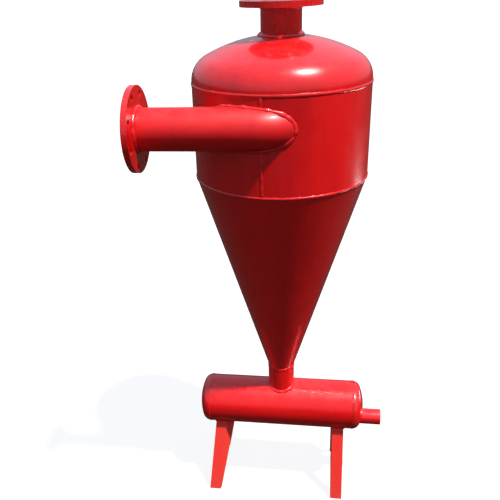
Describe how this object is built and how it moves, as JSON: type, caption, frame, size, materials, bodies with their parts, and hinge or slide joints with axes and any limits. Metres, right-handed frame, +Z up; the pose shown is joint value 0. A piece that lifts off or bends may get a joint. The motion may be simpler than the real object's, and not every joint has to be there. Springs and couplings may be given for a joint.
{
  "type": "cyclone separator",
  "caption": "Upright sand-separating cyclone: round body under a dished head, tangential flanged inlet, flanged top outlet, long cone and a lying collecting tank on splayed legs.",
  "frame": {"origin": "on the ground under the body's axis", "axes": "+Z up along the body's axis, +X along the tank towards its drain, -Y the side the inlet pipe runs along"},
  "size_m": [0.73, 0.6085, 1.667],
  "materials": {
    "shell_paint": "gloss",
    "cone_paint": "gloss",
    "inlet_paint": "gloss",
    "tank_paint": "gloss",
    "leg_paint": "gloss",
    "bead_paint": "gloss"
  },
  "bodies": {
    "root": {"outlet_flange": "inlet_paint", "outlet_flange_weld": "bead_paint", "outlet_neck": "shell_paint", "outlet_neck_weld": "bead_paint", "dome_head": "shell_paint", "head_seam_weld": "bead_paint", "shell": "shell_paint", "shell_seam_weld": "bead_paint", "cone": "cone_paint", "cone_seam_weld": "bead_paint", "inlet_flange": "inlet_paint", "inlet_flange_weld": "bead_paint", "inlet_pipe": "inlet_paint", "inlet_bend": "inlet_paint", "inlet_saddle_weld": "bead_paint", "apex_ring_weld": "bead_paint", "apex_neck": "cone_paint", "apex_saddle_weld": "bead_paint", "tank_shell": "tank_paint", "tank_left_cap": "tank_paint", "tank_right_cap": "tank_paint", "tank_left_seam_weld": "bead_paint", "tank_right_seam_weld": "bead_paint", "drain_pipe": "tank_paint", "drain_weld": "bead_paint", "front_left_leg": "leg_paint", "front_left_leg_web": "leg_paint", "front_left_leg_weld": "bead_paint", "rear_left_leg": "leg_paint", "rear_left_leg_web": "leg_paint", "rear_left_leg_weld": "bead_paint", "front_right_leg": "leg_paint", "front_right_leg_web": "leg_paint", "front_right_leg_weld": "bead_paint", "rear_right_leg": "leg_paint", "rear_right_leg_web": "leg_paint", "rear_right_leg_weld": "bead_paint"}
  },
  "joints": []
}
